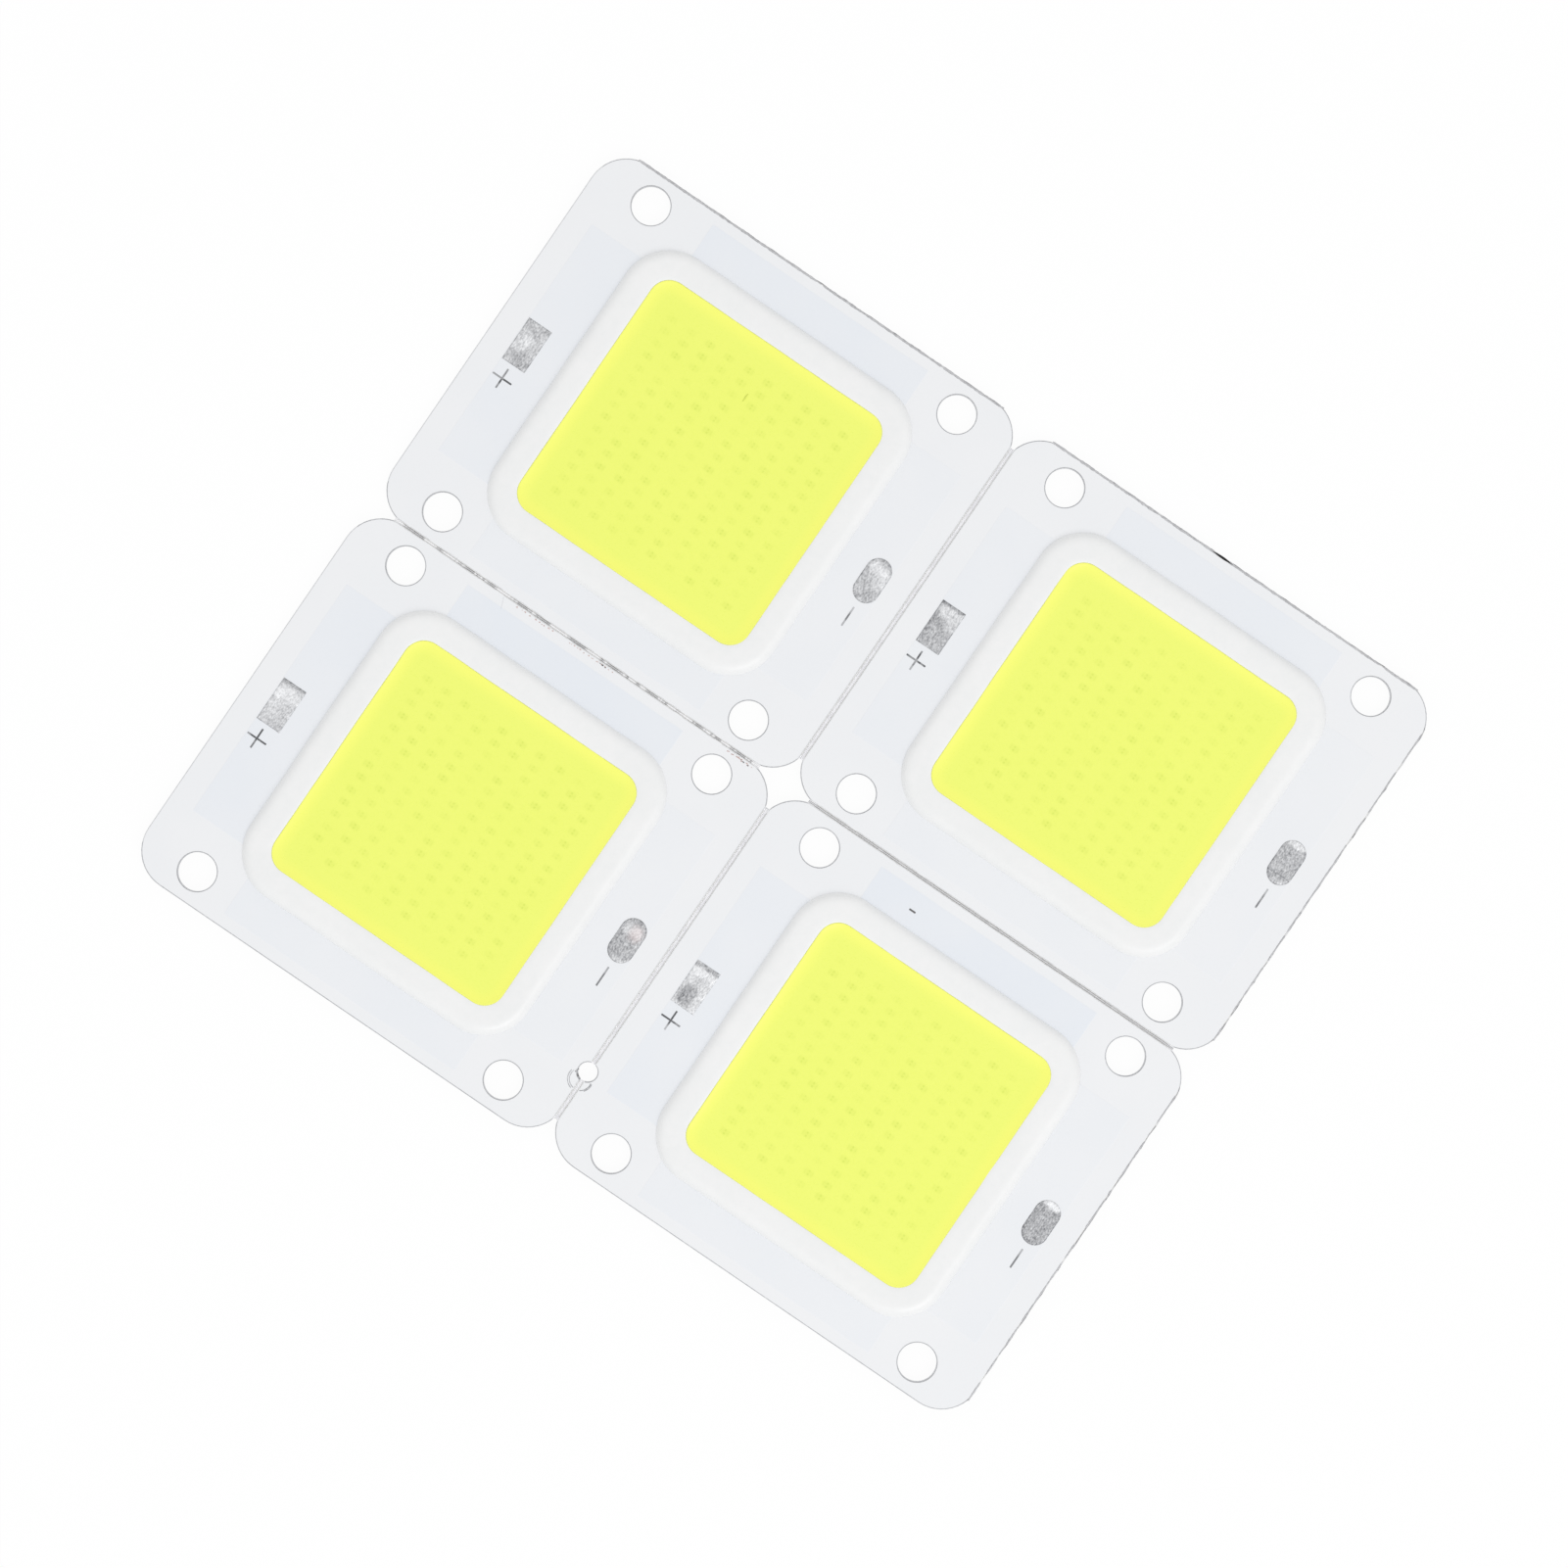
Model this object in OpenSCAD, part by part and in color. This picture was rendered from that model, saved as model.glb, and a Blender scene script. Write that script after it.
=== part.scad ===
// Chip-on-board LED modules on one scored aluminium sheet.
// Each module is 46 x 40 mm, with a white silicone dam round a field of yellow phosphor gel.
// Origin: middle of the sheet's back face. +Z is the side that gives light,
// -X is the side of the plus pads and +X the side of the minus pads.

/* [Sheet] */
// Modules side by side along X
columns = 2; // [1:1:2]
// Modules one above the other along Y
rows = 2; // [1:1:2]
// Width of one module, which is also the pitch along X
module_w = 46; // [44.5:0.5:60]
// Height of one module, which is also the pitch along Y
module_h = 40; // [39.5:0.5:55]
// Radius of a module's corners
corner_r = 3.85; // [2:0.05:4.5]
// Width at which the punch stops in the narrow tips between two rounded corners
tip_w = 0.32; // [0.24:0.02:0.6]

/* [Base plate] */
// Thickness of the aluminium plate
plate_t = 1; // [0.9:0.1:2]
// Distance from a module's left and right edges to the middles of its mounting holes
hole_edge_x = 6; // [5.5:0.1:7]
// Distance from a module's top and bottom edges to the middles of its mounting holes
hole_edge_y = 3; // [2.6:0.1:3.5]
// Diameter of a mounting hole
hole_d = 3.6; // [2.5:0.1:4]
// Diameter of the locating hole that crosses the lower column groove
locating_hole_d = 1.8; // [1:0.05:3]
// Distance from the sheet's lower edge to the middle of the locating hole
locating_hole_edge = 8; // [6:0.1:12]

/* [Score grooves] */
// Width of the front grooves between columns
column_groove_w = 0.44; // [0.3:0.02:0.5]
// Width of the front grooves between rows
row_groove_w = 0.32; // [0.24:0.02:0.5]
// Angle of the scoring cutter
groove_angle = 45; // [40:1:70]
// Flat at the cutter's tip
groove_tip_w = 0.06; // [0.02:0.01:0.1]
// Depth of the grooves in the back face
back_groove_d = 0.34; // [0.1:0.02:0.4]
// Spacing of the teeth that snapping leaves along the torn web
tear_step = 1.3; // [0.8:0.1:3]
// Greatest depth of those teeth
tear_depth = 0.1; // [0.02:0.01:0.1]

/* [Circuit layers] */
// Thickness of the insulating layer
insulation_t = 0.08; // [0.05:0.01:0.12]
// Thickness of the copper
copper_t = 0.035; // [0.02:0.005:0.07]
// Thickness of the solder mask over the copper
mask_t = 0.03; // [0.02:0.005:0.06]
// Bare border that the insulation and the mask leave along each cut edge and hole
coat_setback = 0.1; // [0.04:0.01:0.15]
// Border without copper along a module's left and right edges
bus_margin = 2.5; // [2:0.1:3]
// Border without copper along a module's top and bottom edges
end_margin = 1.2; // [1:0.1:3]
// Width of the upper copper field
upper_copper_w = 23.9; // [10:0.1:25]
// How far the upper copper field sits towards +X
upper_copper_x = 0.65; // [0:0.05:1]
// Width of the lower copper field
lower_copper_w = 25.6; // [10:0.1:26]
// Gap between an upper or lower copper field and the bus bars
copper_gap = 0.55; // [0.3:0.05:1]
// How far a bus bar runs past the mask window at each end
bus_overrun = 0.65; // [0.2:0.05:1]
// Bare width of a bus bar inside the mask window, where the wires are bonded
bond_strip_w = 0.7; // [0.4:0.05:1]
// Step from a bus bar's inner edge to the opening in the insulation
strip_margin = 0.3; // [0.1:0.05:0.5]

/* [Solder pads] */
// Width of the plus and minus pads
pad_w = 2.5; // [1.5:0.1:3.5]
// Length of the plus and minus pads
pad_l = 4.5; // [4:0.1:8]
// Distance from a pad to the outer edge of its copper
pad_inset = 0.05; // [0.05:0.05:0.5]
// Height of the tin over the solder mask
tin_rise = 0.04; // [0.01:0.01:0.1]

/* [Dam and gel] */
// Distance across the dam between the middles of its two sides
dam_span = 27.4; // [26.2:0.1:29]
// Width of the dam at its foot
dam_w = 3.4; // [2.6:0.1:4]
// Height of the dam
dam_h = 0.75; // [0.6:0.05:1.2]
// Corner radius of the dam along its middle
dam_corner_r = 3.1; // [2.2:0.1:5]
// Level of the gel over the solder mask
gel_level = 0.47; // [0.3:0.01:0.55]
// Step from the dam's inner foot to the mask window
window_inset = 0.1; // [0.05:0.05:0.3]
// Corner radius of the windows in the mask and the insulation
window_r = 0.8; // [0.3:0.1:1.2]

/* [LED chips] */
// Chips in series in one row
chips_per_row = 10; // [4:1:12]
// Groups of rows
row_groups = 5; // [1:1:5]
// Rows in a group
rows_per_group = 3; // [1:1:3]
// Pitch of the rows in a group
row_pitch = 1.32; // [1:0.01:1.4]
// Clearance from a row's end chips to the window in the insulation
row_end_margin = 0.96; // [0.6:0.02:1.4]
// Clearance from the outer rows to the window in the insulation
outer_row_margin = 1.12; // [0.6:0.02:1.4]
// Length of a chip, along its row
chip_l = 0.89; // [0.8:0.01:1.1]
// Width of a chip
chip_w = 0.56; // [0.3:0.01:0.7]
// Height of a chip
chip_h = 0.13; // [0.12:0.01:0.2]
// Distance from a chip's middle to each of its two bond pads
chip_pad_x = 0.3; // [0.1:0.01:0.35]
// Thickness of a bond wire
wire_t = 0.03; // [0.02:0.005:0.05]
// Rise of a bond wire's loop over the chips
loop_h = 0.16; // [0.08:0.01:0.2]

/* [Hidden] */
$fn = 96;
// How far a cutter runs past what it cuts
over = 1;
sheet_w = columns * module_w;
sheet_h = rows * module_h;
module_count = columns * rows;

// Levels
insulation_z = plate_t;
copper_z = insulation_z + insulation_t;
bus_top = copper_z + copper_t;
mask_top = bus_top + mask_t;
chip_top = plate_t + chip_h;

// Grooves: a front groove's depth follows from its width
groove_slope = 2 * tan(groove_angle / 2);
back_groove_w = groove_tip_w + back_groove_d * groove_slope;
// Distance from a module's corner point to the end of a tip
tip_reach = corner_r - sqrt(pow(corner_r, 2) - pow(corner_r - tip_w / 2, 2));
// Wide enough to close the gap that the arcs leave past the tip
seam_w = 2 * tip_w;

// Windows and copper
mask_window = dam_span - dam_w - 2 * window_inset;
bus_outer_x = module_w / 2 - bus_margin;
bus_inner_x = mask_window / 2 - bond_strip_w;
bus_l = mask_window + 2 * bus_overrun;
end_inner_y = bus_l / 2 + copper_gap;
end_outer_y = module_h / 2 - end_margin;
insulation_window = 2 * (bus_inner_x - strip_margin);
pad_x = bus_outer_x - pad_inset - pad_w / 2;

// Dam profile: a circle's segment with the dam's width and height
dam_profile_r = (pow(dam_w / 2, 2) + pow(dam_h, 2)) / (2 * dam_h);
dam_side_l = dam_span - 2 * dam_corner_r;

// Chips spread over the window, and the wires between them
row_count = row_groups * rows_per_group;
group_span = (rows_per_group - 1) * row_pitch + chip_w;
column_gaps = max(1, chips_per_row - 1);
group_gaps = max(1, row_groups - 1);
chip_pitch = (insulation_window - 2 * row_end_margin - chip_l) / column_gaps;
group_pitch = (insulation_window - 2 * outer_row_margin - group_span) / group_gaps;
last_chip_x = (chips_per_row - 1) / 2 * chip_pitch;
bus_bond_x = bus_inner_x + bond_strip_w / 2;

// Seeds of the torn webs
upper_tear_seed = 11;
side_tear_seed = 21;

PIECES = [
    "insulation", "plus_copper", "minus_copper", "upper_copper", "lower_copper", "solder_mask",
    "plus_pad", "minus_pad", "led_chips", "bond_wires", "silicone_dam", "phosphor_gel"
];

// Modules are counted along +X, row by row, from the top left
function module_x(m) = ((m - 1) % columns - (columns - 1) / 2) * module_w;
function module_y(m) = ((rows - 1) / 2 - floor((m - 1) / columns)) * module_h;
function row_y(r) =
    (floor(r / rows_per_group) - (row_groups - 1) / 2) * group_pitch
    + (r % rows_per_group - (rows_per_group - 1) / 2) * row_pitch;
function chip_x(c) = (c - (chips_per_row - 1) / 2) * chip_pitch;
// Radius of an arc that spans a chord with a given rise
function arc_radius(chord, rise) = (pow(chord / 2, 2) + pow(rise, 2)) / (2 * rise);

module at_module(m) {
    translate([module_x(m), module_y(m), 0])
        children();
}

module layer(z, t) {
    translate([0, 0, z])
        linear_extrude(t)
            children();
}

module rounded_rect(w, h, r) {
    square([w - 2 * r, h], center = true);
    square([w, h - 2 * r], center = true);
    for (x = [-1, 1], y = [-1, 1])
        translate([x * (w / 2 - r), y * (h / 2 - r)])
            circle(r);
}

// ---- base plate ----

// The front groove starts at the mask's top and the back groove at the plate's back
module groove_profile(front_w) {
    half_over = over * groove_slope / 2;
    front_d = (front_w - groove_tip_w) / groove_slope;
    polygon([
        [-front_w / 2 - half_over, mask_top + over],
        [-groove_tip_w / 2, mask_top - front_d],
        [groove_tip_w / 2, mask_top - front_d],
        [front_w / 2 + half_over, mask_top + over]
    ]);
    polygon([
        [-back_groove_w / 2 - half_over, -over],
        [-groove_tip_w / 2, back_groove_d],
        [groove_tip_w / 2, back_groove_d],
        [back_groove_w / 2 + half_over, -over]
    ]);
}

// One cut on the right of each column and above each row, the snapped outer edges included
module grooves() {
    for (c = [1:columns])
        translate([c * module_w - sheet_w / 2, 0, 0])
            rotate([90, 0, 0])
                linear_extrude(sheet_h + 2 * over, center = true)
                    groove_profile(column_groove_w);
    for (r = [1:rows])
        translate([0, r * module_h - sheet_h / 2, 0])
            rotate([90, 0, 90])
                linear_extrude(sheet_w + 2 * over, center = true)
                    groove_profile(row_groove_w);
}

// Uneven strip that is torn off along a snapped edge of length l
module torn_strip(l, seed) {
    teeth = floor(l / tear_step / 2) * 2;
    depths = rands(0.3 * tear_depth, tear_depth, teeth + 1, seed);
    edge = [
        for (i = [0:teeth])
            [(i / teeth - 0.5) * l, i % 2 == 0 ? 0 : -depths[i]]
    ];
    polygon(concat(edge, [[l / 2, over], [-l / 2, over]]));
}

module sheet_outline() {
    difference() {
        union() {
            for (m = [1:module_count])
                at_module(m)
                    rounded_rect(module_w, module_h, corner_r);
            if (columns > 1)
                for (m = [1:module_count])
                    if (m % columns != 0)
                        translate([module_x(m) + module_w / 2, module_y(m)])
                            square([seam_w, module_h - 2 * tip_reach], center = true);
            if (rows > 1)
                for (m = [1:module_count - columns])
                    translate([module_x(m), module_y(m) - module_h / 2])
                        square([module_w - 2 * tip_reach, seam_w], center = true);
        }
        for (c = [0:columns - 1])
            translate([(c - (columns - 1) / 2) * module_w, sheet_h / 2])
                torn_strip(module_w - 2 * corner_r, upper_tear_seed + c);
        for (r = [0:rows - 1])
            translate([sheet_w / 2, (r - (rows - 1) / 2) * module_h])
                rotate(-90)
                    torn_strip(module_h - 2 * corner_r, side_tear_seed + r);
    }
}

// The four mounting holes of a module, wider by a border in the coats
module mounting_holes(border) {
    for (x = [-1, 1], y = [-1, 1])
        translate([x * (module_w / 2 - hole_edge_x), y * (module_h / 2 - hole_edge_y), -over])
            cylinder(h = mask_top + 2 * over, d = hole_d + 2 * border);
}

// Locating hole on the first groove between columns
module locating_hole(border) {
    if (columns > 1)
        translate([module_w - sheet_w / 2, locating_hole_edge - sheet_h / 2, -over])
            cylinder(h = mask_top + 2 * over, d = locating_hole_d + 2 * border);
}

module base_plate() {
    color("#c9ccd0")
        difference() {
            linear_extrude(plate_t)
                sheet_outline();
            grooves();
            locating_hole(0);
            for (m = [1:module_count])
                at_module(m)
                    mounting_holes(0);
        }
}

// ---- circuit layers ----

// A coat on one module's plate, cut where the sheet is scored and drilled
module coat(m, z, t) {
    coat_w = module_w - 2 * coat_setback;
    coat_h = module_h - 2 * coat_setback;
    difference() {
        at_module(m)
            layer(z, t)
                rounded_rect(coat_w, coat_h, corner_r - coat_setback);
        grooves();
        locating_hole(coat_setback);
        at_module(m)
            mounting_holes(coat_setback);
    }
}

module window(side, z, t) {
    layer(z, t)
        rounded_rect(side, side, window_r);
}

module insulation(m) {
    color("#d9dcc8")
        difference() {
            coat(m, insulation_z, insulation_t);
            at_module(m)
                window(insulation_window, insulation_z - over, insulation_t + 2 * over);
        }
}

// Bus bar beside the light field, on the side given by dir
module bus_bar(dir) {
    bus_w = bus_outer_x - bus_inner_x;
    translate([dir * (bus_inner_x + bus_w / 2), 0])
        square([bus_w, bus_l], center = true);
}

// Copper field between the light field and a module's top or bottom edge
module end_field(w, x, dir) {
    field_h = end_outer_y - end_inner_y;
    translate([x, dir * (end_inner_y + field_h / 2)])
        square([w, field_h], center = true);
}

module upper_field() {
    end_field(upper_copper_w, upper_copper_x, 1);
}

module lower_field() {
    end_field(lower_copper_w, 0, -1);
}

module circuit() {
    bus_bar(-1);
    bus_bar(1);
    upper_field();
    lower_field();
}

module copper(m) {
    color("#c98a5b")
        at_module(m)
            layer(copper_z, copper_t)
                children();
}

module plus_outline() {
    translate([-pad_x, 0])
        square([pad_w, pad_l], center = true);
}

// Pad with round ends
module minus_outline() {
    straight_l = pad_l - pad_w;
    translate([pad_x, 0]) {
        square([pad_w, straight_l], center = true);
        for (y = [-1, 1])
            translate([0, y * straight_l / 2])
                circle(d = pad_w);
    }
}

module solder_mask(m) {
    color("#f3f5f8")
        difference() {
            coat(m, copper_z, copper_t + mask_t);
            at_module(m) {
                window(mask_window, copper_z - over, copper_t + mask_t + 2 * over);
                layer(copper_z, copper_t)
                    circuit();
                layer(copper_z, copper_t + mask_t + over) {
                    plus_outline();
                    minus_outline();
                }
            }
        }
}

// Section of a pad's tin, rounded off where it stands over the mask
module tin_profile() {
    square([pad_w - 2 * tin_rise, mask_t + tin_rise]);
    translate([-tin_rise, 0])
        square([pad_w, mask_t]);
    for (x = [0, pad_w - 2 * tin_rise])
        translate([x, mask_t])
            intersection() {
                circle(tin_rise);
                translate([-tin_rise, 0])
                    square(2 * tin_rise);
            }
}

module tin_bar(x) {
    translate([x - pad_w / 2 + tin_rise, 0, bus_top])
        rotate([90, 0, 0])
            linear_extrude(pad_l, center = true)
                tin_profile();
}

module plus_pad(m) {
    color("#a9abac")
        at_module(m)
            tin_bar(-pad_x);
}

module minus_pad(m) {
    color("#a9abac")
        at_module(m)
            intersection() {
                tin_bar(pad_x);
                layer(bus_top - over, mask_t + tin_rise + 2 * over)
                    minus_outline();
            }
}

// ---- light field ----

module chips() {
    for (r = [0:row_count - 1], c = [0:chips_per_row - 1])
        translate([chip_x(c) - chip_l / 2, row_y(r) - chip_w / 2, plate_t])
            cube([chip_l, chip_w, chip_h]);
}

// Arched wire from foot a to foot b, each [x, z]
module wire(a, b) {
    chord = b[0] - a[0];
    arc_r = arc_radius(chord, loop_h);
    middle = (a[0] + b[0]) / 2;
    rotate([90, 0, 0])
        linear_extrude(wire_t, center = true)
            intersection() {
                translate([middle, chip_top + loop_h - arc_r])
                    difference() {
                        circle(arc_r + wire_t / 2);
                        circle(arc_r - wire_t / 2);
                    }
                union() {
                    translate([middle - chord, a[1]])
                        square([chord, loop_h + over]);
                    translate([middle, b[1]])
                        square([chord, loop_h + over]);
                }
            }
}

module wire_row() {
    wire([-bus_bond_x, bus_top], [-last_chip_x - chip_pad_x, chip_top]);
    wire([last_chip_x + chip_pad_x, chip_top], [bus_bond_x, bus_top]);
    for (c = [0:chips_per_row - 2])
        wire([chip_x(c) + chip_pad_x, chip_top], [chip_x(c + 1) - chip_pad_x, chip_top]);
}

module wires() {
    for (r = [0:row_count - 1])
        translate([0, row_y(r), 0])
            wire_row();
}

module dam_profile() {
    intersection() {
        translate([0, dam_h - dam_profile_r])
            circle(dam_profile_r);
        translate([-dam_w / 2, 0])
            square([dam_w, dam_h]);
    }
}

module dam() {
    translate([0, 0, mask_top])
        for (side = [0:3])
            rotate(90 * side) {
                translate([dam_span / 2, 0, 0])
                    rotate([90, 0, 0])
                        linear_extrude(dam_side_l, center = true)
                            dam_profile();
                translate([dam_side_l / 2, dam_side_l / 2, 0])
                    rotate_extrude(angle = 90)
                        translate([dam_corner_r, 0])
                            dam_profile();
            }
}

// Gel from the plate up to its level, round the chips and wires and against the dam
module gel() {
    difference() {
        union() {
            window(insulation_window, insulation_z, insulation_t);
            window(mask_window, copper_z, copper_t + mask_t);
            layer(mask_top, gel_level)
                rounded_rect(dam_span, dam_span, dam_corner_r);
        }
        dam();
        layer(copper_z, copper_t)
            circuit();
        chips();
        wires();
    }
}

// ---- the model ----

base_plate();
for (m = [1:module_count]) {
    insulation(m);
    copper(m) bus_bar(-1);
    copper(m) bus_bar(1);
    copper(m) upper_field();
    copper(m) lower_field();
    solder_mask(m);
    plus_pad(m);
    minus_pad(m);
    color("#5b86c4") at_module(m) chips();
    color("#d9b25a") at_module(m) wires();
    color("#f2f2f0") at_module(m) dam();
    color("#eefb6e") at_module(m) gel();
}
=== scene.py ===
import math

import bmesh
import bpy
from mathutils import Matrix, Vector, noise


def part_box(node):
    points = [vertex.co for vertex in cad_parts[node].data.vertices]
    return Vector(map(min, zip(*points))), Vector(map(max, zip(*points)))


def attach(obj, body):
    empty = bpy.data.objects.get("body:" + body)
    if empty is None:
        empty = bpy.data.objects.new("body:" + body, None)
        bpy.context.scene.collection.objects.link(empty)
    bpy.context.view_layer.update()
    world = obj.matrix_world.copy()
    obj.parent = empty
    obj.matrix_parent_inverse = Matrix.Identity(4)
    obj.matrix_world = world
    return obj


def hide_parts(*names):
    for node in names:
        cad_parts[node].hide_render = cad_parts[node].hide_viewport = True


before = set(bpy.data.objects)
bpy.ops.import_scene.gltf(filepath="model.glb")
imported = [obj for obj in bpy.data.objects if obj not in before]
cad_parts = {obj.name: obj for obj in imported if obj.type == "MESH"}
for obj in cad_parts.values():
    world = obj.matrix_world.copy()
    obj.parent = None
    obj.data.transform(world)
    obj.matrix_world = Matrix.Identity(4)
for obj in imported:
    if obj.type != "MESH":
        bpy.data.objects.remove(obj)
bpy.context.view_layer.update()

mm = 0.001
perMm = (1 / mm,) * 3
moduleNumbers = (1, 2, 3, 4)  # upper left, upper right, lower left, lower right
scene = bpy.context.scene


# sizes that the CAD part gives, in millimetres
def cadBox(node):
    low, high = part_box(node)
    return low / mm, high / mm


sheetLow, sheetHigh = cadBox("base_plate")
moduleSize = Vector(((sheetHigh.x - sheetLow.x) / 2, (sheetHigh.y - sheetLow.y) / 2))
maskTop = cadBox("solder_mask_1")[1].z


def moduleCentre(number):
    column, row = (number - 1) % 2, (number - 1) // 2
    return Vector(((column - 0.5) * moduleSize.x, (0.5 - row) * moduleSize.y, 0))


print("frame loaded: %d nodes, module %.1f x %.1f mm" % (len(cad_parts), moduleSize.x, moduleSize.y))


# a node's output that takes plain arithmetic, so that a mask reads as a formula
class Signal:
    def __init__(self, tree, socket):
        self.tree, self.socket = tree, socket

    def __add__(self, other):
        return calc("ADD", self, other)

    def __sub__(self, other):
        return calc("SUBTRACT", self, other)

    def __rsub__(self, other):
        return calc("SUBTRACT", other, self)

    def __mul__(self, other):
        return calc("MULTIPLY", self, other)

    def __truediv__(self, other):
        return calc("DIVIDE", self, other)

    def __gt__(self, other):
        return calc("GREATER_THAN", self, other)

    def __lt__(self, other):
        return calc("LESS_THAN", self, other)

    def __abs__(self):
        return calc("ABSOLUTE", self)


def treeOf(values):
    return next(value.tree for value in values if isinstance(value, Signal))


def signalsOf(tree, node):
    return {socket.name: Signal(tree, socket) for socket in node.outputs}


def feed(socket, value):
    if isinstance(value, Signal):
        value.tree.links.new(value.socket, socket)
    else:
        socket.default_value = value


def addNode(tree, kind, inputs=(), output=0, **settings):
    node = tree.nodes.new(kind)
    for name, value in settings.items():
        setattr(node, name, value)
    for key, value in dict(inputs).items():
        feed(node.inputs[key], value)
    return Signal(tree, node.outputs[output])


def calc(operation, *values, clamp=False):
    kinds = [value.socket.type for value in values if isinstance(value, Signal)]
    if "VECTOR" in kinds or "RGBA" in kinds:
        output = "Value" if operation == "LENGTH" else "Vector"
        return addNode(treeOf(values), "ShaderNodeVectorMath", enumerate(values), output, operation=operation)
    return addNode(treeOf(values), "ShaderNodeMath", enumerate(values), operation=operation, use_clamp=clamp)


def larger(first, second):
    return calc("MAXIMUM", first, second)


def rangeMask(value, fromLow, fromHigh, toLow=0.0, toHigh=1.0, smooth=True):
    return addNode(value.tree, "ShaderNodeMapRange", enumerate((value, fromLow, fromHigh, toLow, toHigh)),
                   interpolation_type="SMOOTHSTEP" if smooth else "LINEAR")


# from low where the value is 0 to high where it is 1
def between(value, low, high):
    return rangeMask(value, 0.0, 1.0, low, high, smooth=False)


def mixColor(factor, first, second, blend="MIX"):
    inputs = {0: factor, 6: first, 7: second}  # the node's colour sockets are its 6th and 7th
    return addNode(treeOf(inputs.values()), "ShaderNodeMix", inputs, 2, data_type="RGBA", blend_type=blend)


def mixNumber(factor, first, second):
    inputs = {0: factor, 2: first, 3: second}  # and its number sockets the 2nd and 3rd
    return addNode(factor.tree, "ShaderNodeMix", inputs, data_type="FLOAT")


def noiseMask(vector, scale, detail=2.0, roughness=0.5, output=0):
    inputs = {"Vector": vector, "Scale": scale, "Detail": detail, "Roughness": roughness}
    return addNode(vector.tree, "ShaderNodeTexNoise", inputs, output)


# noise that points each way, from -0.5 to 0.5
def driftNoise(vector, scale, detail=2.0, roughness=0.5):
    return noiseMask(vector, scale, detail, roughness, "Color") - (0.5, 0.5, 0.5)


def splitVector(vector):
    parts = addNode(vector.tree, "ShaderNodeSeparateXYZ", {0: vector})
    return signalsOf(vector.tree, parts.socket.node).values()


def joinVector(x, y, z=0.0):
    return addNode(treeOf((x, y, z)), "ShaderNodeCombineXYZ", enumerate((x, y, z)))


def newTree(kind, name, inputs, outputs):
    tree = bpy.data.node_groups.new(name, kind)
    for socketName, socketKind, value in inputs:
        socket = tree.interface.new_socket(socketName, in_out="INPUT", socket_type="NodeSocket" + socketKind)
        if value is not None:
            socket.default_value = value
    for socketName, socketKind in outputs:
        tree.interface.new_socket(socketName, in_out="OUTPUT", socket_type="NodeSocket" + socketKind)
    given = signalsOf(tree, tree.nodes.new("NodeGroupInput"))
    return tree, given, tree.nodes.new("NodeGroupOutput").inputs


def useGroup(group, inputs):
    tree = treeOf(inputs.values())
    node = tree.nodes.new("ShaderNodeGroup")
    node.node_tree = group
    for key, value in inputs.items():
        feed(node.inputs[key], value)
    return signalsOf(tree, node)


# a colour in the 0..255 steps that an eye reads, as the linear value that a socket takes
def shade(steps):
    steps = [c / 255 for c in steps]
    return [c / 12.92 if c <= 0.04045 else ((c + 0.055) / 1.055) ** 2.4 for c in steps] + [1.0]


# shader groups used by several finishes

def buildModulePlace():
    tree, given, result = newTree(
        "ShaderNodeTree", "modulePlace",
        [("Vector", "Vector", (0, 0, 0)), ("Module Width", "Float", 46.0), ("Module Height", "Float", 40.0)],
        [("Local", "Vector"), ("Sheet", "Vector"), ("Number", "Float")],
    )
    width, height = given["Module Width"], given["Module Height"]
    sheet = given["Vector"] * perMm
    x, y, z = splitVector(sheet)
    localX = calc("WRAP", x, width, 0.0) - width * 0.5
    localY = calc("WRAP", y, height, 0.0) - height * 0.5
    feed(result["Local"], joinVector(localX, localY, z))
    feed(result["Sheet"], sheet)
    feed(result["Number"], (x > 0.0) + (y < 0.0) * 2.0)
    return tree


def buildSoftBox():
    tree, given, result = newTree(
        "ShaderNodeTree", "softBox",
        [("Vector", "Vector", (0, 0, 0)), ("Centre", "Vector", (0, 0, 0)), ("Half Size", "Vector", (1, 1, 0)),
         ("Radius", "Float", 0.1), ("Softness", "Float", 0.1)],
        [("Mask", "Float"), ("Distance", "Float")],
    )
    radius, soft = given["Radius"], given["Softness"]
    x, y, _ = splitVector(abs(given["Vector"] - given["Centre"]) - given["Half Size"])
    x, y = x + radius, y + radius
    corner = calc("LENGTH", joinVector(larger(x, 0.0), larger(y, 0.0)))
    distance = corner + calc("MINIMUM", larger(x, y), 0.0) - radius
    feed(result["Distance"], distance)
    feed(result["Mask"], rangeMask(distance, soft, soft * -1.0))
    return tree


def buildGrain():
    tree, given, result = newTree(
        "ShaderNodeTree", "grain",
        [("Vector", "Vector", (0, 0, 0)), ("Fine Scale", "Float", 8.0), ("Coarse Scale", "Float", 0.4),
         ("Stretch", "Vector", (1, 1, 1)), ("Seed", "Float", 0.0)],
        [("Fine", "Float"), ("Coarse", "Float")],
    )
    seed = given["Seed"]
    place = given["Vector"] * given["Stretch"] + joinVector(seed, seed, seed)
    feed(result["Fine"], noiseMask(place, given["Fine Scale"], 3.0, 0.6))
    feed(result["Coarse"], noiseMask(place, given["Coarse Scale"], 2.0, 0.5))
    return tree


modulePlace = buildModulePlace()
softBox = buildSoftBox()
grain = buildGrain()


# 1 inside a rectangle with rounded corners and 0 outside, or the distance to its edge, in millimetres
def boxMask(vector, half, radius, softness=0.1, centre=(0, 0), output="Mask"):
    return useGroup(softBox, {
        "Vector": vector, "Centre": (centre[0], centre[1], 0), "Half Size": (half[0], half[1], 0),
        "Radius": radius, "Softness": softness})[output]


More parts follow.
